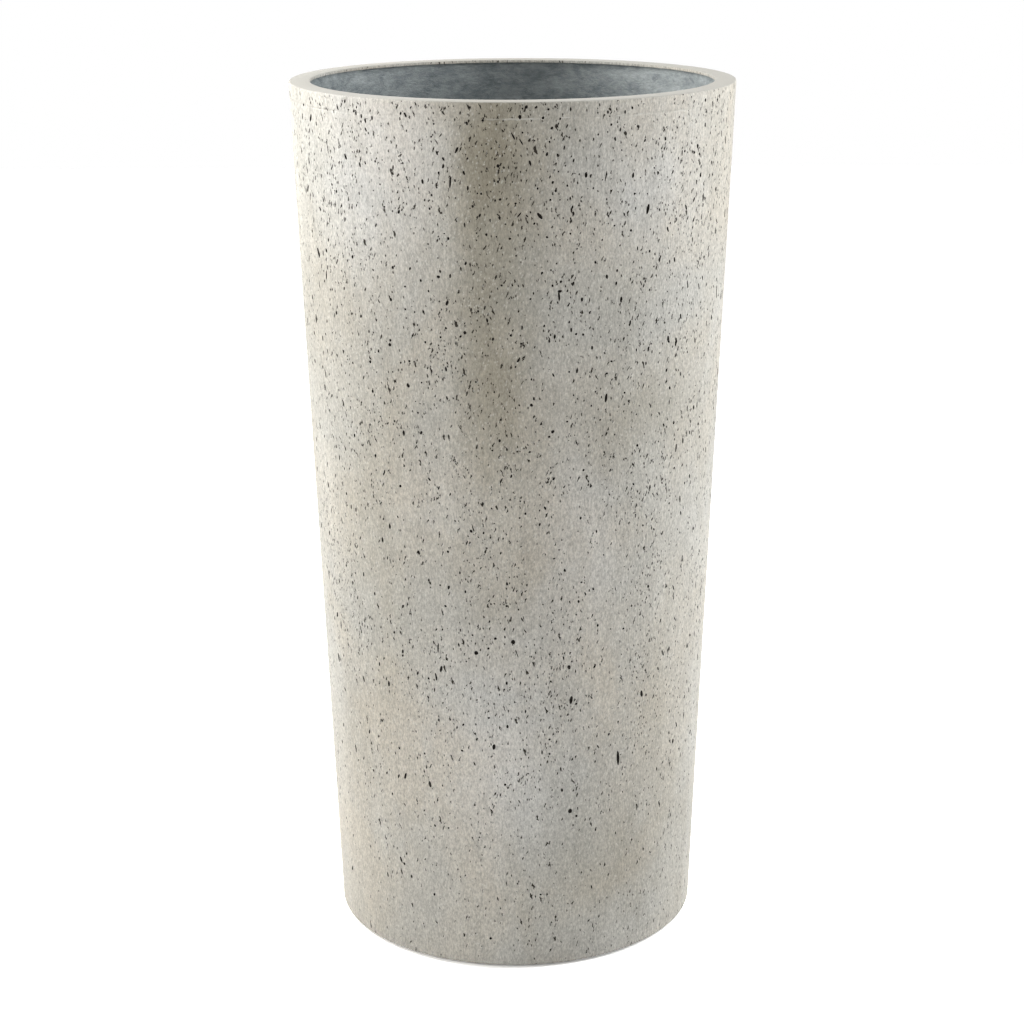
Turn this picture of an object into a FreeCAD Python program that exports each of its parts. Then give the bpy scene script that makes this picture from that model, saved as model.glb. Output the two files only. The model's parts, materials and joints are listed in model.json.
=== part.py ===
import FreeCAD, Part
import math
import os

# A tall, round, tapered planter: a pitted stone-look skin over a fiberglass tub.
# Its thick rim is a lip turned inwards over a hidden core. A planting shelf stands
# on four blocks inside and lifts out, and a rubber bung closes the drain hole.
#
# Millimetres, Z up. The planter's axis is Z, and it stands on Z = 0 on its feet.
# A wall's thickness is measured square to the wall.

Vector = FreeCAD.Vector

# ---- Driving dimensions ----

# The outside, as it is seen
planter_height = 900.0  # ground to the top of the rim
top_radius = 226.8  # outside, at the top of the rim
base_radius = 192.6  # outside, at the underside
lip_width = 21.4  # flat top of the rim, from its outer edge to the mouth
base_edge_radius = 3.0
rim_edge_radius = 1.5
lip_top_bevel = 0.8
lip_bottom_bevel = 0.4

# Walls and floor
face_thickness = 3.2  # stone-look skin, on the outside, the underside and the lip
wall_laminate = 4.0  # fiberglass behind the skin
floor_laminate = 6.0
floor_fillet = 15.0  # inside, where the wall meets the floor
laminate_bend = 10.0  # inside, where the wall bends over the rim's core
lip_setback = 4.2  # from the mouth back to the wall under the lip
core_depth = 55.0  # straight stretch of the wall under the lip
bond_line = 0.3  # resin between the curved faces of bonded layers

# Drain hole and its bung
drain_radius = 12.5
dish_depth = 2.0  # shallow dish around the hole, which the bung's flange lies in
dish_margin = 5.0  # from the flange to the foot of the dish's slope
dish_slope = 6.0  # level width of the dish's slope
bung_clearance = 0.05  # between the bung and the hole, all round
bung_flange_radius = 19.0
bung_flange_thickness = 3.0
bung_lead = 2.0  # tapered end of the bung
bung_lead_taper = 0.8
bung_tip_gap = 0.6  # from the bung's end to the planter's underside
bung_hollow_radius = 8.0
bung_skin = 3.0  # rubber over the hollow, under the knob
knob_radius = 7.5
knob_height = 10.0  # above the flange
neck_radius = 5.0
neck_height = 3.5
bung_bevel = 0.8

# Planting shelf
shelf_height = 540.0  # ground to the top of the shelf
shelf_clearance = 3.9  # between the shelf and the wall, or the mouth, if that is less
shelf_plate = 4.0
shelf_depth = 18.0  # top of the plate to the foot of its rim
shelf_rim = 3.0
shelf_edge_bevel = 2.0
rib_count = 8
rib_thickness = 3.0
rib_depth = 12.0  # below the plate
hub_radius = 30.0
hub_wall = 4.0
hub_bore_radius = 11.0
hole_radius = 6.0
hole_rings = 3
first_ring_radius = 62.0
last_ring_inset = 29.0  # from the shelf's edge to the last ring of holes
finger_slot_length = 84.0
finger_slot_width = 28.0
finger_slot_inset = 52.0  # from the shelf's edge to the middle of a slot
hole_web = 4.0  # least material between a drain hole and a finger slot

# Blocks that carry the shelf
block_count = 4
block_angle = 14.0  # degrees of the wall that a block covers
block_depth = 12.0  # from the wall inwards
block_height = 30.0

# Feet
foot_count = 4
foot_radius = 20.0
foot_thickness = 3.0
foot_chamfer = 0.6
foot_inset = 52.6  # from the outside of the base to the middle of a foot

# ---- Places worked out from them ----

underside = foot_thickness
lip_underside = planter_height - face_thickness
mouth_radius = top_radius - lip_width
laid_floor = underside + face_thickness  # top of the skin on the underside
floor_top = laid_floor + floor_laminate
dish_floor = floor_top - dish_depth
draft_slope = (top_radius - base_radius) / (planter_height - underside)
draft = math.atan(draft_slope)
throat_radius = mouth_radius + lip_setback  # wall under the lip, inside
core_inner_radius = throat_radius + wall_laminate
shelf_foot = shelf_height - shelf_depth
foot_ring_radius = base_radius - foot_inset


def outer_radius(height):
    return base_radius + (height - underside) * draft_slope


def face_inner_radius(height):
    return outer_radius(height) - face_thickness / math.cos(draft)


def wall_outer_radius(height):
    return face_inner_radius(height) - bond_line / math.cos(draft)


def wall_inner_radius(height):
    return wall_outer_radius(height) - wall_laminate / math.cos(draft)


shelf_radius = min(wall_inner_radius(shelf_foot), mouth_radius) - shelf_clearance
finger_slot_radius = shelf_radius - finger_slot_inset
ring_spacing = (shelf_radius - last_ring_inset - first_ring_radius) / (hole_rings - 1)
core_shoulder = lip_underside - core_depth
core_width = wall_outer_radius(core_shoulder) - core_inner_radius
core_tip = core_shoulder - core_width  # the core ends in a bevel of about 45 degrees
bevel_gap = bond_line * math.sqrt(2)  # the bond line, measured upwards at that bevel


# ---- Tools ----


def profile(corners):
    """Closed face in the XZ plane through (radius, height, rounding) corners."""
    count = len(corners)
    entries = []
    exits = []
    arcs = []
    for i, (radius, height, rounding) in enumerate(corners):
        here = Vector(radius, 0, height)
        last = Vector(corners[i - 1][0], 0, corners[i - 1][1])
        following = Vector(corners[(i + 1) % count][0], 0, corners[(i + 1) % count][1])
        back = (last - here).normalize()
        ahead = (following - here).normalize()
        half_angle = back.getAngle(ahead) / 2
        reach = rounding / math.tan(half_angle)
        entries.append(here + back * reach)
        exits.append(here + ahead * reach)
        if rounding > 0:
            inwards = (back + ahead).normalize()
            crown = here + inwards * (rounding / math.sin(half_angle) - rounding)
            arcs.append(Part.Arc(entries[-1], crown, exits[-1]).toShape())
        else:
            arcs.append(None)
    edges = []
    for i in range(count):
        if arcs[i]:
            edges.append(arcs[i])
        if exits[i].distanceToPoint(entries[(i + 1) % count]) > 1e-6:
            edges.append(Part.makeLine(exits[i], entries[(i + 1) % count]))
    return Part.Face(Part.Wire(edges))


def turned(corners, angle=360.0):
    """Solid of revolution about Z, centred on the +X side when it isn't a full turn."""
    solid = profile(corners).revolve(Vector(0, 0, 0), Vector(0, 0, 1), angle)
    if angle < 360.0:
        solid.rotate(Vector(0, 0, 0), Vector(0, 0, 1), -angle / 2)
    return solid


def placed_around(solid, angle):
    copy = solid.copy()
    copy.rotate(Vector(0, 0, 0), Vector(0, 0, 1), angle)
    return copy


def moved_inwards(chain, distance):
    """A rising chain of (radius, height) points, moved towards the axis with mitred corners."""
    sides = []
    for (r0, z0), (r1, z1) in zip(chain, chain[1:]):
        length = math.hypot(r1 - r0, z1 - z0)
        sides.append((-(z1 - z0) / length, (r1 - r0) / length))
    before = [sides[0]] + sides
    after = sides + [sides[-1]]
    moved = []
    for (r, z), (ar, az), (br, bz) in zip(chain, before, after):
        stretch = distance / (1 + ar * br + az * bz)
        moved.append((r + (ar + br) * stretch, z + (az + bz) * stretch))
    return moved


# ---- Sub-parts ----


def make_stone_face():
    """Skin on the underside, up the tapered outside, over the rim and down the lip's edge."""
    return turned(
        [
            (drain_radius, underside, 0),
            (base_radius, underside, base_edge_radius),
            (top_radius, planter_height, rim_edge_radius),
            (mouth_radius + lip_top_bevel, planter_height, 0),
            (mouth_radius, planter_height - lip_top_bevel, 0),
            (mouth_radius, lip_underside + lip_bottom_bevel, 0),
            (mouth_radius + lip_bottom_bevel, lip_underside, 0),
            (face_inner_radius(lip_underside), lip_underside, 0),
            (face_inner_radius(laid_floor), laid_floor, 0),
            (drain_radius, laid_floor, 0),
        ]
    )


def make_fiberglass_shell():
    """Laminated tub behind the skin. Near the top it leaves the skin and bends over the core."""
    back = [
        (wall_outer_radius(laid_floor), laid_floor),
        (wall_outer_radius(core_tip), core_tip),
        (core_inner_radius, core_shoulder),
        (core_inner_radius, lip_underside),
    ]
    front = moved_inwards(back, wall_laminate)
    front[0] = (wall_inner_radius(floor_top), floor_top)
    bends = [floor_fillet, laminate_bend, laminate_bend, 0]
    dish_foot = bung_flange_radius + dish_margin
    corners = [(drain_radius, laid_floor, 0)]
    corners += [(radius, height, 0) for radius, height in back]
    corners += [(r, z, bend) for (r, z), bend in zip(reversed(front), reversed(bends))]
    corners += [
        (dish_foot + dish_slope, floor_top, 0),
        (dish_foot, dish_floor, 0),
        (drain_radius, dish_floor, 0),
    ]
    return turned(corners)


def make_rim_core():
    """Hoop that fills the rim between the skin and the laminate, bevelled at its foot."""
    tip = core_tip + bevel_gap
    back = core_inner_radius + bond_line
    return turned(
        [
            (wall_outer_radius(tip), tip, 0),
            (wall_outer_radius(lip_underside), lip_underside, 0),
            (back, lip_underside, 0),
            (back, core_shoulder + bevel_gap - bond_line, 0),
        ]
    )


def make_shelf_block():
    """Ledge block bonded to the wall. Its top is level and its underside is bevelled."""
    foot = shelf_foot - block_height
    nose = wall_inner_radius(shelf_foot) - block_depth
    return turned(
        [
            (wall_inner_radius(foot) - bond_line, foot, 0),
            (wall_inner_radius(shelf_foot) - bond_line, shelf_foot, 0),
            (nose, shelf_foot, 0),
            (nose, foot + block_depth, 0),
        ],
        block_angle,
    )


def make_foot():
    foot = Part.makeCylinder(foot_radius, foot_thickness, Vector(foot_ring_radius, 0, 0))
    rim = [edge for edge in foot.Edges if edge.BoundBox.ZMax < foot_thickness / 2]
    return foot.makeChamfer(foot_chamfer, rim)


def shelf_holes():
    """Drain holes in rings between the ribs, and the two finger slots."""
    bay = 360.0 / rib_count
    drill_height = shelf_depth * 2
    drill_foot = shelf_height - shelf_depth - shelf_depth / 2
    cutters = []
    for bay_number in range(rib_count):
        slotted = bay_number % (rib_count // 2) == 0
        for ring in range(hole_rings):
            radius = first_ring_radius + ring * ring_spacing
            gap = abs(radius - finger_slot_radius) - finger_slot_width / 2 - hole_radius
            if slotted and gap < hole_web:
                continue
            for place in range(ring + 1):
                angle = bay * (bay_number - 0.5 + (place + 0.5) / (ring + 1))
                drill = Part.makeCylinder(hole_radius, drill_height, Vector(radius, 0, drill_foot))
                cutters.append(placed_around(drill, angle))
        if slotted:
            half = finger_slot_length / 2 - finger_slot_width / 2
            slot = Part.makeBox(
                finger_slot_width,
                2 * half,
                drill_height,
                Vector(finger_slot_radius - finger_slot_width / 2, -half, drill_foot),
            )
            for side in (-half, half):
                end = Vector(finger_slot_radius, side, drill_foot)
                slot = slot.fuse(Part.makeCylinder(finger_slot_width / 2, drill_height, end))
            cutters.append(placed_around(slot, bay * bay_number))
    return Part.makeCompound(cutters)


def make_planting_shelf():
    """Moulded round plate with a downturned rim, ribs and a hub underneath, and drain holes."""
    plate_underside = shelf_height - shelf_plate
    rib_foot = plate_underside - rib_depth
    shelf = turned(
        [
            (hub_bore_radius, plate_underside, 0),
            (shelf_radius - shelf_rim, plate_underside, 0),
            (shelf_radius - shelf_rim, shelf_foot, 0),
            (shelf_radius, shelf_foot, 0),
            (shelf_radius, shelf_height - shelf_edge_bevel, 0),
            (shelf_radius - shelf_edge_bevel, shelf_height, 0),
            (hub_bore_radius, shelf_height, 0),
        ]
    )
    hub = turned(
        [
            (hub_radius - hub_wall, rib_foot, 0),
            (hub_radius, rib_foot, 0),
            (hub_radius, plate_underside + shelf_plate / 2, 0),
            (hub_radius - hub_wall, plate_underside + shelf_plate / 2, 0),
        ]
    )
    shelf = shelf.fuse(hub)
    rib_start = hub_radius - hub_wall / 2
    rib_length = shelf_radius - shelf_rim / 2 - rib_start
    rib = Part.makeBox(
        rib_length,
        rib_thickness,
        rib_depth + shelf_plate / 2,
        Vector(rib_start, -rib_thickness / 2, rib_foot),
    )
    bay = 360.0 / rib_count
    ribs = [placed_around(rib, bay * (number + 0.5)) for number in range(rib_count)]
    return shelf.fuse(ribs).cut(shelf_holes()).removeSplitter()


def make_drain_plug():
    """Rubber bung from inside the tub: knob, neck, flange in the dish, and a hollow body."""
    body_radius = drain_radius - bung_clearance
    tip = underside + bung_tip_gap
    flange_top = dish_floor + bung_flange_thickness
    knob_top = flange_top + knob_height
    hollow_top = flange_top - bung_skin
    return turned(
        [
            (0, hollow_top, 0),
            (bung_hollow_radius, hollow_top, 0),
            (bung_hollow_radius, tip, 0),
            (body_radius - bung_lead_taper, tip, 0),
            (body_radius, tip + bung_lead, 0),
            (body_radius, dish_floor, 0),
            (bung_flange_radius, dish_floor, 0),
            (bung_flange_radius, flange_top - bung_bevel, 0),
            (bung_flange_radius - bung_bevel, flange_top, 0),
            (neck_radius, flange_top, 0),
            (neck_radius, flange_top + neck_height, 0),
            (knob_radius, flange_top + neck_height + bung_bevel, 0),
            (knob_radius, knob_top - bung_bevel, 0),
            (knob_radius - bung_bevel, knob_top, 0),
            (0, knob_top, 0),
        ]
    )


# ---- Assembly ----


def build():
    parts = {
        "stone_face": make_stone_face(),
        "fiberglass_shell": make_fiberglass_shell(),
        "rim_core": make_rim_core(),
        "planting_shelf": make_planting_shelf(),
        "drain_plug": make_drain_plug(),
    }
    for number in range(block_count):
        angle = 360.0 / block_count * (number + 0.5)
        parts[f"shelf_block_{number + 1}"] = placed_around(make_shelf_block(), angle)
    for number in range(foot_count):
        angle = 360.0 / foot_count * number
        parts[f"foot_pad_{number + 1}"] = placed_around(make_foot(), angle)
    return parts


os.makedirs("parts", exist_ok=True)
for name, shape in build().items():
    shape.exportStep(f"parts/{name}.step")
    print(f"{name}: {len(shape.Solids)} solid, {shape.Volume / 1e6:.4f} litres, valid {shape.isValid()}")
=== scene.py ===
import bpy
import json
import math
from mathutils import Matrix, Vector


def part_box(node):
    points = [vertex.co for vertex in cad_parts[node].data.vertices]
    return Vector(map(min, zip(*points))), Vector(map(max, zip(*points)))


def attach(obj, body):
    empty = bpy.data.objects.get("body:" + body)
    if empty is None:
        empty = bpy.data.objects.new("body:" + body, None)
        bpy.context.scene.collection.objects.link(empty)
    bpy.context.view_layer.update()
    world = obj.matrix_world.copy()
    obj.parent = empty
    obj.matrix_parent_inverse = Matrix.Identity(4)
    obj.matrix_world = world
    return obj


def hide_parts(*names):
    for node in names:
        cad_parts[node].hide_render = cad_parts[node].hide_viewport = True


# Tall round planter: a pitted stone-look skin over a grey tub. Metres, Z up, standing on Z = 0.

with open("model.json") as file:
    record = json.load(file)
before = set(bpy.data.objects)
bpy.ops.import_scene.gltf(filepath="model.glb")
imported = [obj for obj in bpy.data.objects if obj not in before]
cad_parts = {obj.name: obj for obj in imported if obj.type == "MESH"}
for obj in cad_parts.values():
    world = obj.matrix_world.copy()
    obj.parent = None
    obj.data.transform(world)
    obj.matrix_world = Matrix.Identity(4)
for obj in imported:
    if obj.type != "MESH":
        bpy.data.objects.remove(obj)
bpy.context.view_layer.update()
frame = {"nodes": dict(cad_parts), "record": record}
nodes = frame["nodes"]
mm = 0.001


# Helpers that build node trees, for geometry and for materials

def feed(tree, value, socket):
    if isinstance(value, bpy.types.NodeSocket):
        tree.links.new(value, socket)
    elif isinstance(value, bpy.types.Node):
        tree.links.new(value.outputs[0], socket)
    else:
        socket.default_value = value


def addNode(tree, kind, feeds=None, **settings):
    node = tree.nodes.new(kind)
    for name, value in settings.items():
        setattr(node, name, value)
    for name, value in (feeds or {}).items():
        feed(tree, value, node.inputs[name])
    return node


def calc(tree, operation, *values):
    node = addNode(tree, "ShaderNodeMath", operation=operation)
    for i, value in enumerate(values):
        feed(tree, value, node.inputs[i])
    return node.outputs[0]


def calcVector(tree, operation, *values):
    node = addNode(tree, "ShaderNodeVectorMath", operation=operation)
    for i, value in enumerate(values):
        feed(tree, value, node.inputs[i])
    return node.outputs[0]


def joined(tree, x, y, z):
    return addNode(tree, "ShaderNodeCombineXYZ", {"X": x, "Y": y, "Z": z}).outputs[0]


def remap(tree, value, start, end, low=0.0, high=1.0, soft=False):
    node = addNode(tree, "ShaderNodeMapRange", {"Value": value, "From Min": start, "From Max": end,
                                                "To Min": low, "To Max": high})
    node.interpolation_type = "SMOOTHSTEP" if soft else "LINEAR"
    return node.outputs[0]


def noise(tree, vector, scale, detail=3.0, roughness=0.55, distortion=0.0):
    return addNode(tree, "ShaderNodeTexNoise", {"Vector": vector, "Scale": scale, "Detail": detail,
                                                "Roughness": roughness, "Distortion": distortion}).outputs[0]


def addSpots(tree, total, azimuth, height, spots):
    # adds soft spots to total: azimuth in degrees and height of each, the spread of both, and the strength
    for turn, middle, width, reach, strength in spots:
        aside = calc(tree, "SUBTRACT", azimuth, math.radians(turn))
        aside = calc(tree, "WRAP", aside, math.pi, -math.pi)
        across = calc(tree, "POWER", calc(tree, "DIVIDE", aside, math.radians(width)), 2.0)
        up = calc(tree, "POWER", calc(tree, "DIVIDE", calc(tree, "SUBTRACT", height, middle), reach), 2.0)
        spot = calc(tree, "EXPONENT", calc(tree, "MULTIPLY", calc(tree, "ADD", across, up), -0.5))
        total = calc(tree, "ADD", total, calc(tree, "MULTIPLY", spot, strength))
    return total


# Stone-look skin: an outline turned into one shell, with layers of pits cut into it

stoneSkin = {
    "segments": 240,
    "wallRows": 12,
    "underside": 3.0 * mm,
    "baseRadius": 192.6 * mm,
    "topRadius": 226.8 * mm,
    "lipWidth": 21.4 * mm,
    "thickness": 3.2 * mm,
    "drainRadius": 12.5 * mm,
    "baseEdge": 3.0 * mm,
    "rimEdge": 1.5 * mm,
    "lipEdge": 0.8 * mm,
    "lipFoot": 0.4 * mm,
    "unrolledRadius": 0.21,  # metres, for patterns laid out on the flat
    "sharpAngle": 32,
}
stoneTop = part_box("stone_face")[1].z
wallSlope = (stoneSkin["topRadius"] - stoneSkin["baseRadius"]) / (stoneTop - stoneSkin["underside"])


def wallRadius(height):
    return stoneSkin["baseRadius"] + (height - stoneSkin["underside"]) * wallSlope


def roundedCorner(before, corner, after, radius, steps):
    here, back, ahead = Vector(corner), Vector(before), Vector(after)
    back = (back - here).normalized()
    ahead = (ahead - here).normalized()
    half = back.angle(ahead) / 2
    reach = radius / math.tan(half)
    centre = here + (back + ahead).normalized() * (radius / math.sin(half))
    start = here + back * reach - centre
    end = here + ahead * reach - centre
    points = []
    for i in range(steps + 1):
        share = i / steps
        spoke = start.lerp(end, share).normalized() * radius
        points.append(tuple(centre + spoke))
    return points


def skinOutline():
    top, bottom = stoneTop, stoneSkin["underside"]
    mouth = stoneSkin["topRadius"] - stoneSkin["lipWidth"]
    levelWall = stoneSkin["thickness"] * math.sqrt(1 + wallSlope ** 2)
    baseCorner = (stoneSkin["baseRadius"], bottom)
    rimCorner = (stoneSkin["topRadius"], top)
    lipCorner = (mouth, top)
    footCorner = (mouth, top - stoneSkin["thickness"])
    floorTop = bottom + stoneSkin["thickness"]
    outline = [(stoneSkin["drainRadius"], bottom)]
    outline += [(stoneSkin["baseRadius"] * share, bottom) for share in (0.25, 0.5, 0.75)]
    outline += roundedCorner((0, bottom), baseCorner, rimCorner, stoneSkin["baseEdge"], 5)
    for row in range(1, stoneSkin["wallRows"]):
        height = bottom + (top - bottom) * row / stoneSkin["wallRows"]
        outline.append((wallRadius(height), height))
    outline += roundedCorner(baseCorner, rimCorner, lipCorner, stoneSkin["rimEdge"], 4)
    outline += roundedCorner(rimCorner, lipCorner, footCorner, stoneSkin["lipEdge"], 3)
    outline += roundedCorner(lipCorner, footCorner, (rimCorner[0], footCorner[1]), stoneSkin["lipFoot"], 2)
    outline.append((wallRadius(footCorner[1]) - levelWall, footCorner[1]))
    outline.append((wallRadius(floorTop) - levelWall, floorTop))
    outline.append((stoneSkin["drainRadius"], floorTop))
    return outline


def newTree(name, inputs):
    tree = bpy.data.node_groups.new(name, "GeometryNodeTree")
    tree.interface.new_socket("Geometry", in_out="OUTPUT", socket_type="NodeSocketGeometry")
    tree.interface.new_socket("Geometry", in_out="INPUT", socket_type="NodeSocketGeometry")
    for label, kind in inputs.items():
        tree.interface.new_socket(label, in_out="INPUT", socket_type="NodeSocket" + kind)
    return tree, addNode(tree, "NodeGroupInput"), addNode(tree, "NodeGroupOutput")


def finishTree(tree, geometry, given, output):
    flat = addNode(tree, "GeometryNodeRealizeInstances", {"Geometry": geometry})
    material = given.outputs["Material"]
    painted = addNode(tree, "GeometryNodeSetMaterial", {"Geometry": flat, "Material": material})
    feed(tree, painted, output.inputs[0])


def addModifier(thing, tree, values):
    modifier = thing.modifiers.new(tree.name, "NODES")
    modifier.node_group = tree
    for item in tree.interface.items_tree:
        if item.in_out == "INPUT" and item.name in values:
            modifier[item.identifier] = values[item.name]


def settle(thing):
    # turns the modifiers' result into the object's own mesh
    evaluated = thing.evaluated_get(bpy.context.evaluated_depsgraph_get())
    mesh = bpy.data.meshes.new_from_object(evaluated)
    thing.modifiers.clear()
    mesh.name = thing.name
    thing.data = mesh


def turnedTree():
    # turns an outline of (radius, 0, height) corners about Z
    tree, given, output = newTree("turnedShell", {"Segments": "Int", "Material": "Material"})
    size = addNode(tree, "GeometryNodeAttributeDomainSize", {"Geometry": given.outputs["Geometry"]})
    corners = size.outputs["Point Count"]
    rows = calc(tree, "ADD", corners, 1.0)
    columns = calc(tree, "ADD", given.outputs["Segments"], 1.0)
    grid = addNode(tree, "GeometryNodeMeshGrid", {"Vertices X": columns, "Vertices Y": rows})
    index = addNode(tree, "GeometryNodeInputIndex").outputs[0]
    row = calc(tree, "FLOORED_MODULO", index, rows)
    corner = calc(tree, "FLOORED_MODULO", row, corners)
    column = calc(tree, "FLOOR", calc(tree, "DIVIDE", index, rows))
    place = addNode(tree, "GeometryNodeSampleIndex", data_type="FLOAT_VECTOR")
    feed(tree, given.outputs["Geometry"], place.inputs["Geometry"])
    feed(tree, addNode(tree, "GeometryNodeInputPosition"), place.inputs["Value"])
    feed(tree, corner, place.inputs["Index"])
    split = addNode(tree, "ShaderNodeSeparateXYZ", {"Vector": place.outputs[0]})
    angle = calc(tree, "DIVIDE", calc(tree, "MULTIPLY", column, 2 * math.pi), given.outputs["Segments"])
    x = calc(tree, "MULTIPLY", split.outputs["X"], calc(tree, "COSINE", angle))
    y = calc(tree, "MULTIPLY", split.outputs["X"], calc(tree, "SINE", angle))
    turned = addNode(tree, "GeometryNodeSetPosition", {"Geometry": grid.outputs["Mesh"],
                                                       "Position": joined(tree, x, y, split.outputs["Z"])})
    closed = addNode(tree, "GeometryNodeMergeByDistance", {"Geometry": turned, "Distance": 0.02 * mm})
    finishTree(tree, closed, given, output)
    return tree


# Where pits gather: azimuth in degrees from the front, height, the spread of both, and how strongly
pitClusters = [
    (14, 0.70, 9, 0.045, 1.6),
    (27, 0.77, 13, 0.06, 0.8),
    (41, 0.81, 14, 0.05, 0.7),
    (-7, 0.63, 9, 0.06, 1.6),
    (23, 0.61, 5, 0.035, 0.9),
    (46, 0.62, 9, 0.10, 0.5),
    (-51, 0.54, 8, 0.15, 0.8),
    (-22, 0.42, 9, 0.16, 0.4),
    (10, 0.61, 4, 0.03, -0.9),
    (-30, 0.79, 25, 0.07, -0.3),
    (18, 0.26, 7, 0.07, 0.7),
    (-28, 0.06, 7, 0.03, 0.8),
    (120, 0.70, 20, 0.12, 0.7),
    (190, 0.50, 25, 0.15, 0.6),
    (245, 0.66, 15, 0.10, 0.8),
]

# Pits: width, height and depth of the smallest and the largest of each layer
pitLayers = {
    "large": {"Spacing": 0.0115, "Share": 0.55, "Tilt": 0.5, "Rough": 1.6 * mm,
              "Smallest": (2.1 * mm, 4.6 * mm, 1.5 * mm), "Largest": (3.8 * mm, 11.0 * mm, 2.2 * mm),
              "Sides": 10, "Rings": 6, "Seed": 11},
    "medium": {"Spacing": 0.0060, "Share": 0.74, "Tilt": 0.5, "Rough": 1.2 * mm,
               "Smallest": (1.7 * mm, 3.5 * mm, 1.2 * mm), "Largest": (2.9 * mm, 8.5 * mm, 2.0 * mm),
               "Sides": 7, "Rings": 4, "Seed": 23},
    "small": {"Spacing": 0.0046, "Share": 0.46, "Tilt": 0.6, "Rough": 0.8 * mm,
              "Smallest": (1.1 * mm, 2.2 * mm, 0.9 * mm), "Largest": (1.9 * mm, 5.4 * mm, 1.6 * mm),
              "Sides": 5, "Rings": 4, "Seed": 37},
}

# Single pits that stand out: azimuth and height of each, width and height in mm, tilt in degrees
pitMarks = [
    (31.6, 0.2271, 3.6, 16.9, -4), (16.1, 0.3001, 3.6, 9.3, 8), (6.5, 0.7936, 3.2, 8.0, -38),
    (-10.8, 0.3530, 4.3, 4.6, 0), (16.3, 0.1772, 4.3, 5.5, 10), (49.5, 0.5469, 2.2, 9.3, 5),
    (-22.8, 0.3227, 2.2, 8.4, -6), (24.5, 0.6123, 3.0, 9.3, 6), (-21.9, 0.3545, 1.6, 11.2, 4),
    (-61.6, 0.3472, 2.2, 10.3, 3), (11.4, 0.7164, 2.2, 10.3, -5), (-0.5, 0.3659, 4.3, 4.6, 0),
    (23.0, 0.8287, 1.2, 10.3, 8), (35.3, 0.7937, 3.6, 10.3, 12), (52.6, 0.4908, 2.2, 8.4, -6),
    (-21.2, 0.3322, 3.0, 7.4, 12), (-62.3, 0.6021, 3.0, 6.5, 0), (47.3, 0.6570, 3.0, 9.3, 4),
    (-15.2, 0.8251, 2.2, 12.2, 3), (-6.1, 0.2517, 3.6, 6.5, 10), (-26.3, 0.6752, 1.6, 4.6, 14),
    (4.1, 0.8436, 2.2, 5.5, -14), (1.5, 0.7949, 1.6, 6.5, 40), (3.4, 0.7938, 1.6, 3.6, -40),
    (0.1, 0.8688, 1.6, 8.4, -28), (2.0, 0.8632, 1.6, 6.5, -30), (14.4, 0.8002, 1.6, 5.5, 20),
    (14.7, 0.7945, 1.6, 5.5, 10), (14.2, 0.7889, 1.6, 5.5, -16), (-3.5, 0.8409, 3.0, 3.6, 0),
    (-41.0, 0.8844, 2.2, 4.6, 0), (-39.3, 0.8820, 2.2, 4.6, 0), (-35.9, 0.8811, 2.2, 4.6, 6),
    (-45.7, 0.8944, 1.6, 2.7, 0), (-29.8, 0.8964, 1.6, 2.7, 0), (-12.4, 0.8896, 1.6, 3.6, 0),
    (-21.0, 0.8951, 1.6, 3.6, 0), (23.1, 0.8885, 2.2, 3.6, 0), (27.7, 0.8876, 2.2, 3.6, 0),
    (1.7, 0.8863, 3.0, 4.6, 0), (17.8, 0.8307, 3.0, 5.5, 0), (46.3, 0.8434, 1.6, 6.5, 5),
    (64.1, 0.8003, 3.0, 5.5, 0), (14.6, 0.6827, 2.2, 4.6, 0), (-16.7, 0.7091, 3.0, 5.5, 20),
    (44.1, 0.6619, 3.0, 7.4, -10),
]
markCutters = {"Sides": 10, "Rings": 6, "Rough": 1.0 * mm}


def pitDensity(tree, azimuth, height, around):
    # how thickly pits lie: less at the foot and just under the rim, more in the clusters
    low = remap(tree, height, 0.02, 0.18, 0.0, 0.5, soft=True)
    high = remap(tree, height, 0.42, 0.62, 0.0, 0.45, soft=True)
    rim = remap(tree, height, 0.80, 0.88, 0.0, -0.45, soft=True)
    level = calc(tree, "ADD", calc(tree, "ADD", low, high), rim)
    patches = remap(tree, noise(tree, around, 9.0, 3.0), 0.36, 0.66, 0.0, 1.9)
    return addSpots(tree, calc(tree, "MULTIPLY", level, patches), azimuth, height, pitClusters)


def pitShape(tree, given):
    # a ball whose points carry the attribute "pit"
    ball = addNode(tree, "GeometryNodeMeshUVSphere", {"Segments": given.outputs["Sides"],
                                                      "Rings": given.outputs["Rings"], "Radius": 1.0})
    marked = addNode(tree, "GeometryNodeStoreNamedAttribute", data_type="FLOAT", domain="POINT")
    feed(tree, ball.outputs["Mesh"], marked.inputs["Geometry"])
    feed(tree, "pit", marked.inputs["Name"])
    feed(tree, 1.0, marked.inputs["Value"])
    return marked


def cutShell(tree, given, output, pits):
    # roughens the cutters and takes them out of the shell
    loose = addNode(tree, "GeometryNodeRealizeInstances", {"Geometry": pits})
    where = addNode(tree, "GeometryNodeInputPosition")
    wobble = addNode(tree, "ShaderNodeTexNoise", {"Vector": where, "Scale": 420.0, "Detail": 1.0}).outputs[1]
    wobble = calcVector(tree, "SUBTRACT", wobble, (0.5, 0.5, 0.5))
    push = addNode(tree, "ShaderNodeVectorMath", {0: wobble}, operation="SCALE")
    feed(tree, given.outputs["Rough"], push.inputs["Scale"])
    shaped = addNode(tree, "GeometryNodeSetPosition", {"Geometry": loose, "Offset": push.outputs[0]})
    cut = addNode(tree, "GeometryNodeMeshBoolean", operation="DIFFERENCE", solver="MANIFOLD")
    feed(tree, given.outputs["Geometry"], cut.inputs[0])
    feed(tree, shaped, cut.inputs[1])
    finishTree(tree, cut, given, output)


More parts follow.
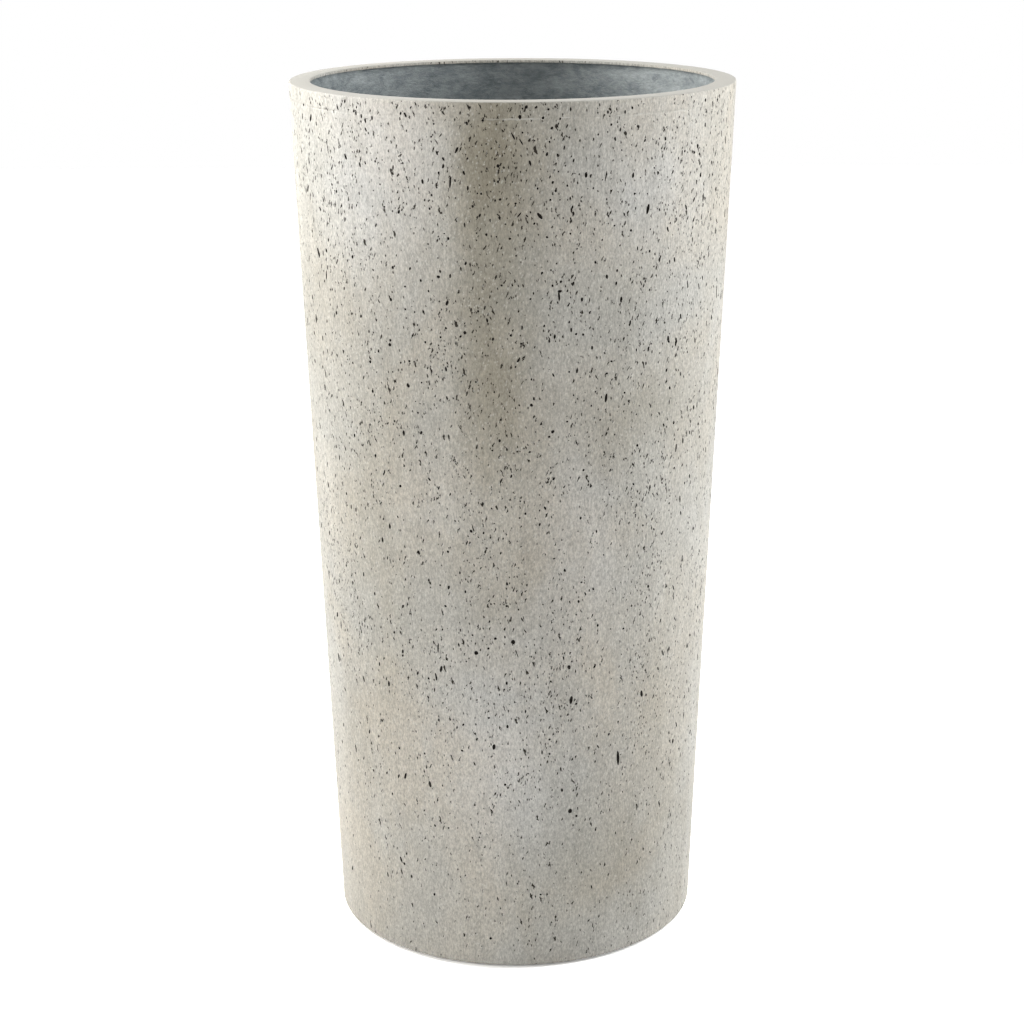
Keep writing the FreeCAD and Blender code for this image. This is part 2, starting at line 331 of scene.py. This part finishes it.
def pitTree():
    # scatters pits over the unrolled wall, rolls them up and cuts them out of the shell
    tree, given, output = newTree("cutPits", {
        "Spacing": "Float", "Share": "Float", "Smallest": "Vector", "Largest": "Vector", "Tilt": "Float",
        "Rough": "Float", "Sides": "Int", "Rings": "Int", "Seed": "Int", "Material": "Material"})
    unrolled = math.pi * 2 * stoneSkin["unrolledRadius"]
    squash = 0.5  # heights are halved here, so that tall pits stay clear of each other
    foot, head = 0.012, stoneTop - 0.004
    sheet = addNode(tree, "GeometryNodeMeshGrid", {"Size X": unrolled, "Size Y": (head - foot) * squash,
                                                   "Vertices X": 2, "Vertices Y": 2})
    place = addNode(tree, "ShaderNodeSeparateXYZ", {"Vector": addNode(tree, "GeometryNodeInputPosition")})
    azimuth = calc(tree, "MULTIPLY", place.outputs["X"], 2 * math.pi / unrolled)
    height = calc(tree, "ADD", calc(tree, "DIVIDE", place.outputs["Y"], squash), (foot + head) / 2)
    radius = calc(tree, "ADD", calc(tree, "MULTIPLY", height, wallSlope), wallRadius(0))
    sine, cosine = calc(tree, "SINE", azimuth), calc(tree, "COSINE", azimuth)
    x = calc(tree, "MULTIPLY", radius, sine)
    y = calc(tree, "MULTIPLY", radius, calc(tree, "MULTIPLY", cosine, -1.0))
    onWall = joined(tree, x, y, height)
    share = calc(tree, "MULTIPLY", pitDensity(tree, azimuth, height, onWall), given.outputs["Share"])
    points = addNode(tree, "GeometryNodeDistributePointsOnFaces", distribute_method="POISSON")
    feed(tree, sheet.outputs["Mesh"], points.inputs["Mesh"])
    feed(tree, given.outputs["Spacing"], points.inputs["Distance Min"])
    feed(tree, 60000.0, points.inputs["Density Max"])
    feed(tree, share, points.inputs["Density Factor"])
    feed(tree, given.outputs["Seed"], points.inputs["Seed"])
    outwards = joined(tree, sine, calc(tree, "MULTIPLY", cosine, -1.0), -wallSlope)
    facing = addNode(tree, "FunctionNodeAxesToRotation", primary_axis="Z", secondary_axis="Y")
    feed(tree, outwards, facing.inputs["Primary Axis"])
    feed(tree, (0, 0, 1), facing.inputs["Secondary Axis"])
    lean = addNode(tree, "FunctionNodeRandomValue", data_type="FLOAT")
    feed(tree, given.outputs["Tilt"], lean.inputs[3])
    feed(tree, calc(tree, "MULTIPLY", given.outputs["Tilt"], -1.0), lean.inputs[2])
    feed(tree, calc(tree, "ADD", given.outputs["Seed"], 1.0), lean.inputs["Seed"])
    leaning = addNode(tree, "FunctionNodeAxisAngleToRotation", {"Axis": (0, 0, 1), "Angle": lean.outputs[1]})
    turned = addNode(tree, "FunctionNodeRotateRotation", rotation_space="LOCAL")
    feed(tree, facing, turned.inputs[0])
    feed(tree, leaning, turned.inputs[1])
    rolled = addNode(tree, "GeometryNodeCaptureAttribute")
    rolled.capture_items.new("ROTATION", "facing")
    feed(tree, points.outputs["Points"], rolled.inputs[0])
    feed(tree, turned, rolled.inputs[1])
    seated = addNode(tree, "GeometryNodeSetPosition", {"Geometry": rolled.outputs[0], "Position": onWall})
    pip = pitShape(tree, given)
    chance = addNode(tree, "FunctionNodeRandomValue", data_type="FLOAT_VECTOR")
    feed(tree, calc(tree, "ADD", given.outputs["Seed"], 2.0), chance.inputs["Seed"])
    # small ones are the most common
    skewed = calcVector(tree, "MULTIPLY", chance.outputs[0], chance.outputs[0])
    extra = calcVector(tree, "SUBTRACT", given.outputs["Largest"], given.outputs["Smallest"])
    size = calcVector(tree, "ADD", calcVector(tree, "MULTIPLY", skewed, extra), given.outputs["Smallest"])
    stretch = remap(tree, height, 0.06, 0.24, 0.6, 1.0)  # rounder towards the foot
    size = calcVector(tree, "MULTIPLY", size, joined(tree, 1.0, stretch, 1.0))
    size = calcVector(tree, "MULTIPLY", size, (0.5, 0.5, 1.0))
    pits = addNode(tree, "GeometryNodeInstanceOnPoints", {"Points": seated, "Instance": pip,
                                                          "Rotation": rolled.outputs[1], "Scale": size})
    cutShell(tree, given, output, pits)
    return tree


def markTree():
    # cuts the single pits of pitMarks
    tree, given, output = newTree("cutMarks", {"Sides": "Int", "Rings": "Int", "Rough": "Float",
                                               "Material": "Material"})
    pip = pitShape(tree, given)
    parts = addNode(tree, "GeometryNodeJoinGeometry")
    for turn, height, width, length, tilt in pitMarks:
        azimuth, radius = math.radians(turn), wallRadius(height)
        place = (radius * math.sin(azimuth), -radius * math.cos(azimuth), height)
        outwards = Vector((math.sin(azimuth), -math.cos(azimuth), -wallSlope)).normalized()
        upwards = (Vector((0, 0, 1)) - outwards * outwards.z).normalized()
        facing = Matrix((upwards.cross(outwards), upwards, outwards)).transposed()
        facing = (facing @ Matrix.Rotation(math.radians(-tilt), 3, "Z")).to_euler()
        depth = min(2.3, 0.9 + width * 0.35)
        size = (width / 2 * mm, length / 2 * mm, depth * mm)
        part = addNode(tree, "GeometryNodeTransform", {"Geometry": pip, "Translation": place,
                                                       "Rotation": tuple(facing), "Scale": size})
        tree.links.new(part.outputs[0], parts.inputs[0])
    cutShell(tree, given, output, parts)
    return tree


def makeStoneSkin(material):
    outline = skinOutline()
    corners = [(radius, 0, height) for radius, height in outline]
    mesh = bpy.data.meshes.new("stoneSkin")
    mesh.from_pydata(corners, [(i, (i + 1) % len(corners)) for i in range(len(corners))], [])
    skin = bpy.data.objects.new("stoneSkin", mesh)
    bpy.context.scene.collection.objects.link(skin)
    addModifier(skin, turnedTree(), {"Segments": stoneSkin["segments"], "Material": material})
    cutter = pitTree()
    for layer in pitLayers.values():
        addModifier(skin, cutter, dict(layer, Material=material))
    addModifier(skin, markTree(), dict(markCutters, Material=material))
    settle(skin)
    for polygon in skin.data.polygons:
        polygon.use_smooth = True
    skin.data.set_sharp_from_angle(angle=math.radians(stoneSkin["sharpAngle"]))
    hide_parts("stone_face")
    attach(skin, "planter")
    skin.data.calc_loop_triangles()
    print("stone skin:", len(skin.data.loop_triangles), "triangles")


# Materials

def newMaterial(name):
    material = bpy.data.materials.new(name)
    material.use_nodes = True
    tree = material.node_tree
    tree.nodes.clear()
    output = addNode(tree, "ShaderNodeOutputMaterial")
    shader = addNode(tree, "ShaderNodeBsdfPrincipled")
    feed(tree, shader, output.inputs["Surface"])
    coords = addNode(tree, "ShaderNodeTexCoord").outputs["Object"]
    return material, tree, shader, coords


def srgb(r, g, b):
    # a colour as it looks on screen, 0 to 255
    return tuple(((c / 255 + 0.055) / 1.055) ** 2.4 for c in (r, g, b)) + (1.0,)


def blend(tree, share, under, over, kind="MIX"):
    node = addNode(tree, "ShaderNodeMix", data_type="RGBA", blend_type=kind)
    feed(tree, share, node.inputs[0])
    feed(tree, under, node.inputs[6])
    feed(tree, over, node.inputs[7])
    return node.outputs[2]


def grain(tree, coords, x, y, z):
    return addNode(tree, "ShaderNodeMapping", {"Vector": coords, "Scale": (x, y, z)}).outputs[0]


def addBump(tree, shader, height, depth, strength=1.0):
    bump = addNode(tree, "ShaderNodeBump", {"Strength": strength, "Distance": depth, "Height": height})
    feed(tree, bump, shader.inputs["Normal"])


def dots(tree, wall, scale, stretch, lean, size, share):
    # ragged specks in some of the cells of a pattern over the wall, 1 inside them
    split = addNode(tree, "ShaderNodeSeparateXYZ", {"Vector": wall})
    across = calc(tree, "ADD", split.outputs["X"], calc(tree, "MULTIPLY", split.outputs["Y"], lean))
    flat = joined(tree, across, calc(tree, "MULTIPLY", split.outputs["Y"], stretch), 0.0)
    ragged = addNode(tree, "ShaderNodeTexNoise", {"Vector": flat, "Scale": scale * 2.2, "Detail": 1.0})
    ragged = ragged.outputs[1]
    ragged = calcVector(tree, "SUBTRACT", ragged, (0.5, 0.5, 0.5))
    push = 0.9 / scale
    flat = calcVector(tree, "ADD", flat, calcVector(tree, "MULTIPLY", ragged, (push, push, 0)))
    cells = addNode(tree, "ShaderNodeTexVoronoi", {"Vector": flat, "Scale": scale}, voronoi_dimensions="2D")
    chance = addNode(tree, "ShaderNodeSeparateXYZ", {"Vector": cells.outputs["Color"]})
    reach = remap(tree, chance.outputs["Y"], 0, 1, size * 0.5, size)
    inside = remap(tree, cells.outputs["Distance"], reach, calc(tree, "MULTIPLY", reach, 0.7))
    return calc(tree, "MULTIPLY", inside, calc(tree, "LESS_THAN", chance.outputs["X"], share))


# Darker and lighter spots on the skin, partly tone of the stone and partly painted shade down the unlit
# front middle: azimuth in degrees, height, the spread of both, and how much darker or lighter
spotsOfToneAndShade = [
    (-1, 0.885, 8, 0.045, -0.38),
    (-3, 0.80, 7, 0.06, -0.26),
    (-7, 0.70, 7, 0.06, -0.20),
    (-5, 0.60, 8, 0.06, -0.26),
    (-34, 0.86, 14, 0.08, 0.32),
    (38, 0.82, 12, 0.08, 0.13),
    (36, 0.595, 14, 0.035, -0.16),
    (17, 0.46, 9, 0.08, 0.20),
    (-5, 0.24, 14, 0.08, 0.26),
    (-42, 0.50, 9, 0.10, -0.10),
    (-24, 0.51, 7, 0.03, 0.10),
    (24, 0.11, 14, 0.05, -0.14),
    (26, 0.70, 7, 0.03, -0.10),
    (100, 0.60, 14, 0.14, 0.12),
    (150, 0.40, 16, 0.14, -0.14),
    (200, 0.72, 15, 0.10, 0.14),
    (255, 0.45, 15, 0.16, -0.12),
]

castStone = {
    "warm": srgb(200, 194, 182),
    "cool": srgb(194, 192, 185),
    "pale": srgb(208, 206, 199),
    "stain": srgb(166, 159, 144),
    "rim": srgb(189, 187, 180),
    "pitShade": srgb(24, 20, 15),
    # near-black of the pinhole specks: painted shade with dark grime
    "pinholeShade": srgb(38, 33, 26),
    "chalk": srgb(238, 237, 231),
    "roughness": 0.6,
    "specular": 0.2,
    "bumpDepth": 0.6 * mm,
}


# Dark specks, painted shade and grime of pinholes too small to cut: cells per metre, flattening, lean, size
# in a cell, share of the cells
castPinholeShade = [
    (210.0, 0.40, 0.25, 0.30, 0.05),
    (330.0, 0.42, -0.3, 0.36, 0.08),
    (500.0, 0.5, 0.1, 0.42, 0.07),
]

castChalk = (480.0, 0.6, -0.2, 0.45, 0.16)  # pale specks, in the same order

trowelLine = {
    "height": 0.884,
    "width": 1.4 * mm,
    "waviness": 3.0 * mm,
    "scuffMiddle": 0.35,  # azimuths in radians
    "scuffReach": (0.55, 0.3),
}

# raised, rough strip left of the middle near the top: azimuth in radians, height, and where it fades out
roughStrip = {
    "azimuth": -0.24,
    "across": (0.06, 0.02),
    "height": 0.80,
    "upwards": (0.09, 0.04),
}


def unroll(tree, coords):
    # the wall as a flat sheet: metres around it, and height
    split = addNode(tree, "ShaderNodeSeparateXYZ", {"Vector": coords})
    azimuth = calc(tree, "ARCTAN2", split.outputs["X"], calc(tree, "MULTIPLY", split.outputs["Y"], -1.0))
    around = calc(tree, "MULTIPLY", azimuth, stoneSkin["unrolledRadius"])
    return joined(tree, around, split.outputs["Z"], 0.0), azimuth, split.outputs["Z"]


def toneAndShadeMap(tree, coords, azimuth, height):
    # 1 on the plain wall, less in dark spots and more in light ones, partly tone and partly painted shade;
    # their edges are ragged
    ragged = calc(tree, "SUBTRACT", noise(tree, grain(tree, coords, 1, 1, 0.45), 11.0, 4.0, 0.6), 0.5)
    azimuth = calc(tree, "ADD", azimuth, calc(tree, "MULTIPLY", ragged, 0.45))
    height = calc(tree, "ADD", height, calc(tree, "MULTIPLY", ragged, 0.12))
    return addSpots(tree, 1.0, azimuth, height, spotsOfToneAndShade)


def castStoneMaterial():
    material, tree, shader, coords = newMaterial("castStone")
    look = castStone
    wall, azimuth, height = unroll(tree, coords)
    clouds = remap(tree, noise(tree, coords, 5.0, 3.0, 0.55, 0.6), 0.38, 0.62)
    color = blend(tree, clouds, look["warm"], look["cool"])
    patches = remap(tree, noise(tree, grain(tree, coords, 1, 1, 0.55), 15.0, 4.0, 0.6, 0.4), 0.48, 0.70)
    color = blend(tree, calc(tree, "MULTIPLY", patches, 0.5), color, look["pale"])
    damp = remap(tree, noise(tree, grain(tree, coords, 1, 1, 0.4), 9.0, 4.0, 0.6, 0.5), 0.52, 0.72)
    color = blend(tree, calc(tree, "MULTIPLY", damp, 0.4), color, look["stain"])
    # darker and lighter spots: tone, and painted shade down the front middle
    level = toneAndShadeMap(tree, coords, azimuth, height)
    tint = joined(tree, calc(tree, "POWER", level, 0.92), level, calc(tree, "POWER", level, 1.22))
    color = blend(tree, 1.0, color, tint, "MULTIPLY")
    # upright streaks, from broad to as fine as a hair
    broad = noise(tree, grain(tree, coords, 1, 1, 0.1), 34.0, 3.0, 0.6)
    streaks = noise(tree, grain(tree, coords, 1, 1, 0.3), 130.0, 4.0, 0.65, 0.8)
    fine = noise(tree, grain(tree, coords, 1, 1, 0.42), 560.0, 2.0, 0.8)
    mottle = remap(tree, streaks, 0.3, 0.7, 0.92, 1.08)
    mottle = calc(tree, "ADD", mottle, remap(tree, fine, 0.3, 0.7, -0.30, 0.30))
    mottle = calc(tree, "ADD", mottle, remap(tree, broad, 0.3, 0.7, -0.05, 0.05))
    color = blend(tree, 1.0, color, mottle, "MULTIPLY")
    # the painted pinhole specks gather in places
    gather = remap(tree, noise(tree, grain(tree, coords, 1, 1, 0.6), 16.0, 4.0, 0.6), 0.36, 0.66, 0.1, 2.0)
    belowRim = remap(tree, height, stoneTop - 0.2 * mm, stoneTop - 1.0 * mm)
    gather = calc(tree, "MULTIPLY", gather, remap(tree, height, 0.03, 0.30, 0.35, 1.0))
    gather = calc(tree, "MULTIPLY", gather, belowRim)
    for scale, stretch, lean, size, share in castPinholeShade:
        spots = dots(tree, wall, scale, stretch, lean, size, calc(tree, "MULTIPLY", gather, share))
        color = blend(tree, spots, color, look["pinholeShade"])
    chalk = calc(tree, "MULTIPLY", dots(tree, wall, *castChalk), belowRim)
    color = blend(tree, calc(tree, "MULTIPLY", chalk, 0.4), color, look["chalk"])
    # a trowel's line close under the rim, with chalky scuffs along part of it
    wavy = calc(tree, "SUBTRACT", noise(tree, coords, 8.0, 2.0), 0.5)
    wavy = calc(tree, "MULTIPLY", wavy, trowelLine["waviness"])
    wavy = calc(tree, "ADD", wavy, trowelLine["height"])
    fromLine = calc(tree, "ABSOLUTE", calc(tree, "SUBTRACT", height, wavy))
    line = remap(tree, fromLine, trowelLine["width"], trowelLine["width"] * 0.3)
    broken = remap(tree, noise(tree, grain(tree, coords, 1, 1, 4), 60.0, 3.0), 0.50, 0.62)
    fromScuffs = calc(tree, "ABSOLUTE", calc(tree, "SUBTRACT", azimuth, trowelLine["scuffMiddle"]))
    front = remap(tree, fromScuffs, *trowelLine["scuffReach"])
    scuff = calc(tree, "MULTIPLY", calc(tree, "MULTIPLY", line, broken), front)
    color = blend(tree, calc(tree, "MULTIPLY", scuff, 0.6), color, look["chalk"])
    onRim = remap(tree, height, stoneTop - 1.0 * mm, stoneTop - 0.2 * mm)
    color = blend(tree, calc(tree, "MULTIPLY", onRim, 0.85), color, look["rim"])
    # pits painted near-black inside: painted shade in the hollows, with dark grime
    pit = addNode(tree, "ShaderNodeAttribute", attribute_name="pit").outputs["Fac"]
    shade = remap(tree, pit, 0.01, 0.16)
    color = blend(tree, shade, color, look["pitShade"])
    feed(tree, color, shader.inputs["Base Color"])
    shader.inputs["Roughness"].default_value = look["roughness"]
    shader.inputs["Specular IOR Level"].default_value = look["specular"]
    aside = calc(tree, "ABSOLUTE", calc(tree, "SUBTRACT", azimuth, roughStrip["azimuth"]))
    above = calc(tree, "ABSOLUTE", calc(tree, "SUBTRACT", height, roughStrip["height"]))
    strip = remap(tree, aside, *roughStrip["across"])
    strip = calc(tree, "MULTIPLY", strip, remap(tree, above, *roughStrip["upwards"]))
    lumps = noise(tree, grain(tree, coords, 1, 1, 0.5), 190.0, 2.0)
    relief = calc(tree, "ADD", calc(tree, "MULTIPLY", streaks, 0.8), calc(tree, "MULTIPLY", fine, 0.4))
    relief = calc(tree, "ADD", relief, calc(tree, "MULTIPLY", calc(tree, "MULTIPLY", strip, lumps), 2.2))
    relief = calc(tree, "SUBTRACT", relief, calc(tree, "MULTIPLY", line, 0.5))
    addBump(tree, shader, relief, look["bumpDepth"], 0.8)
    return material


greyLaminate = {
    "dark": srgb(108, 116, 119),
    "light": srgb(158, 164, 165),
    "paintedShadeToSheen": (0.80, 1.25),
    "roughness": 0.5,
}


def greyLaminateMaterial():
    material, tree, shader, coords = newMaterial("greyLaminate")
    clouds = remap(tree, noise(tree, grain(tree, coords, 1, 1, 2.2), 30.0, 6.0, 0.78, 0.3), 0.36, 0.64)
    color = blend(tree, clouds, greyLaminate["dark"], greyLaminate["light"])
    fibres = noise(tree, grain(tree, coords, 1, 1, 2.5), 140.0, 4.0, 0.75, 0.4)
    aside = calc(tree, "ABSOLUTE", addNode(tree, "ShaderNodeSeparateXYZ", {"Vector": coords}).outputs["X"])
    # painted light: darker in the middle of the wall, which faces the unlit front, and lighter at its sides,
    # where grazing sheen falls
    paintedShadeAndSheen = remap(tree, aside, 0.0, 0.16, *greyLaminate["paintedShadeToSheen"])
    # fibre grain times the painted shade and sheen
    fibresAndPaintedSheen = calc(tree, "MULTIPLY", remap(tree, fibres, 0.3, 0.7, 0.78, 1.22), paintedShadeAndSheen)
    color = blend(tree, 1.0, color, fibresAndPaintedSheen, "MULTIPLY")
    feed(tree, color, shader.inputs["Base Color"])
    shader.inputs["Roughness"].default_value = greyLaminate["roughness"]
    addBump(tree, shader, fibres, 1.2 * mm, 0.8)
    return material


def mouldedMaterial(name, color, roughness, grainSize, depth):
    # moulded plastic or rubber with a fine grain
    material, tree, shader, coords = newMaterial(name)
    pebbles = noise(tree, coords, 1.0 / grainSize, 2.0, 0.5)
    dust = remap(tree, noise(tree, coords, 22.0, 3.0), 0.35, 0.7, 0.9, 1.15)
    feed(tree, blend(tree, 1.0, color, dust, "MULTIPLY"), shader.inputs["Base Color"])
    shader.inputs["Roughness"].default_value = roughness
    addBump(tree, shader, pebbles, depth, 0.8)
    return material


finishes = {
    "core_filler": mouldedMaterial("coreFiller", srgb(212, 200, 168), 0.7, 1.5 * mm, 0.3 * mm),
    "shelf_plastic": mouldedMaterial("shelfPlastic", srgb(62, 63, 65), 0.45, 0.6 * mm, 0.12 * mm),
    "plug_rubber": mouldedMaterial("plugRubber", srgb(52, 52, 53), 0.5, 0.8 * mm, 0.08 * mm),
    "foot_rubber": mouldedMaterial("footRubber", srgb(58, 57, 56), 0.75, 0.8 * mm, 0.15 * mm),
    "stone_finish": castStoneMaterial(),
    "grey_laminate": greyLaminateMaterial(),
}
finishes["block_laminate"] = finishes["grey_laminate"]
for part in frame["record"]["subparts"]:
    thing = nodes[part["node"]]
    thing.data.materials.clear()
    thing.data.materials.append(finishes[part["material_slot"]])
makeStoneSkin(finishes["stone_finish"])

# Studio: white floor and world, soft lamps at a plain level

studio = {
    "floorSize": 12.0,
    "floorGrey": 2.3,
    "floorBounce": 0.5,
    "floorGlow": 0.07,
}


def makeFloor():
    half = studio["floorSize"] / 2
    mesh = bpy.data.meshes.new("studioFloor")
    corners = [(-half, -half, 0), (half, -half, 0), (half, half, 0), (-half, half, 0)]
    mesh.from_pydata(corners, [], [(0, 1, 2, 3)])
    floor = bpy.data.objects.new("studioFloor", mesh)
    bpy.context.scene.collection.objects.link(floor)
    material = bpy.data.materials.new("studioFloor")
    material.use_nodes = True
    tree = material.node_tree
    tree.nodes.clear()
    grey = studio["floorGrey"]
    matt = addNode(tree, "ShaderNodeBsdfDiffuse", {"Color": (grey, grey, grey, 1)})
    glow = addNode(tree, "ShaderNodeEmission", {"Strength": studio["floorGlow"]})
    lit = addNode(tree, "ShaderNodeAddShader")
    feed(tree, matt, lit.inputs[0])
    feed(tree, glow, lit.inputs[1])
    bounce = studio["floorBounce"]
    dull = addNode(tree, "ShaderNodeBsdfDiffuse", {"Color": (bounce, bounce, bounce, 1)})
    ray = addNode(tree, "ShaderNodeLightPath")
    seen = calc(tree, "MAXIMUM", ray.outputs["Is Camera Ray"], ray.outputs["Is Glossy Ray"])
    pick = addNode(tree, "ShaderNodeMixShader", {"Fac": seen})
    feed(tree, dull, pick.inputs[1])
    feed(tree, lit, pick.inputs[2])
    addNode(tree, "ShaderNodeOutputMaterial", {"Surface": pick})
    mesh.materials.append(material)


# Light from the world: direction (azimuth from the front, rise) and strength of each broad glow
skyGlows = {
    "back": (180, 10, 0.45),
    "backAbove": (180, 45, 0.52),
    "right": (90, 10, 0.60),
    "frontRight": (45, 10, 0.42),
}


def makeWorld():
    world = bpy.data.worlds.new("studioWorld")
    bpy.context.scene.world = world
    world.use_nodes = True
    tree = world.node_tree
    tree.nodes.clear()
    direction = addNode(tree, "ShaderNodeTexCoord").outputs["Generated"]
    total = 0.0
    for turn, rise, strength in skyGlows.values():
        turn, rise = math.radians(turn), math.radians(rise)
        towards = (math.sin(turn) * math.cos(rise), -math.cos(turn) * math.cos(rise), math.sin(rise))
        facing = addNode(tree, "ShaderNodeVectorMath", {0: direction, 1: towards}, operation="DOT_PRODUCT")
        glow = calc(tree, "POWER", calc(tree, "MAXIMUM", facing.outputs["Value"], 0.0), 2.0)
        total = calc(tree, "ADD", total, calc(tree, "MULTIPLY", glow, strength))
    ray = addNode(tree, "ShaderNodeLightPath")
    seen = calc(tree, "MAXIMUM", ray.outputs["Is Camera Ray"], ray.outputs["Is Transmission Ray"])
    seen = calc(tree, "MAXIMUM", seen, ray.outputs["Is Glossy Ray"])
    light = addNode(tree, "ShaderNodeBackground", {"Color": (1, 1, 1, 1), "Strength": total})
    white = addNode(tree, "ShaderNodeBackground", {"Color": (1, 1, 1, 1), "Strength": 1.0})
    sky = addNode(tree, "ShaderNodeMixShader", {"Fac": seen})
    feed(tree, light, sky.inputs[1])
    feed(tree, white, sky.inputs[2])
    addNode(tree, "ShaderNodeOutputWorld", {"Surface": sky})


lamps = {
    "leftBox": {"azimuth": -107, "rise": 20, "reach": 1.3, "aim": 0.85, "size": (0.55, 0.9), "watts": 18,
                "color": (1, 0.99, 0.965)},
    "leftHigh": {"azimuth": -95, "rise": 48, "reach": 1.5, "aim": 0.85, "size": (0.5, 0.5), "watts": 5,
                 "color": (1, 0.99, 0.965)},
    "leftFront": {"azimuth": -50, "rise": 15, "reach": 2.2, "aim": 0.5, "size": (0.7, 1.6), "watts": 22,
                  "color": (1, 0.99, 0.965)},
    "rightBox": {"azimuth": 91, "rise": 15, "reach": 2.2, "aim": 0.5, "size": (0.7, 1.6), "watts": 20,
                 "color": (0.99, 1, 1)},
    "rightNear": {"azimuth": 85, "rise": 20, "reach": 1.3, "aim": 0.85, "size": (0.5, 0.9), "watts": 4,
                  "color": (0.99, 1, 1)},
    "rightHigh": {"azimuth": 95, "rise": 48, "reach": 1.5, "aim": 0.85, "size": (0.5, 0.5), "watts": 2.5,
                  "color": (0.99, 1, 1)},
}


def makeLamp(name, lamp):
    light = bpy.data.lights.new(name, "AREA")
    light.shape = "RECTANGLE"
    light.size, light.size_y = lamp["size"]
    light.energy = lamp["watts"]
    light.color = lamp["color"]
    thing = bpy.data.objects.new(name, light)
    bpy.context.scene.collection.objects.link(thing)
    azimuth, rise, reach = math.radians(lamp["azimuth"]), math.radians(lamp["rise"]), lamp["reach"]
    aim = Vector((0, 0, lamp["aim"]))
    across = reach * math.cos(rise)
    away = Vector((across * math.sin(azimuth), -across * math.cos(azimuth), reach * math.sin(rise)))
    thing.location = aim + away
    thing.rotation_euler = (aim - thing.location).to_track_quat("-Z", "Y").to_euler()


makeFloor()
makeWorld()
for name, lamp in lamps.items():
    makeLamp(name, lamp)
print("studio: floor, world and", len(lamps), "lamps")

# Camera, fitted to the rim's two ellipses, the arc of the base and both sides

camera = {
    "lens": 81.278,
    "sensor": 36.0,
    "distance": 2.3795,
    "height": 1.1308,
    "downwards": 16.173,
    "roll": -0.2399,
    "shift": -0.0022,
}


def makeCamera():
    data = bpy.data.cameras.new("camera")
    data.lens = camera["lens"]
    data.sensor_width = camera["sensor"]
    data.shift_x = camera["shift"]
    thing = bpy.data.objects.new("camera", data)
    bpy.context.scene.collection.objects.link(thing)
    tilt = Matrix.Rotation(math.radians(90 - camera["downwards"]), 4, "X")
    roll = Matrix.Rotation(math.radians(camera["roll"]), 4, "Z")
    thing.matrix_world = Matrix.Translation((0, -camera["distance"], camera["height"])) @ tilt @ roll
    bpy.context.scene.camera = thing


makeCamera()
bpy.context.scene.view_settings.view_transform = "Standard"
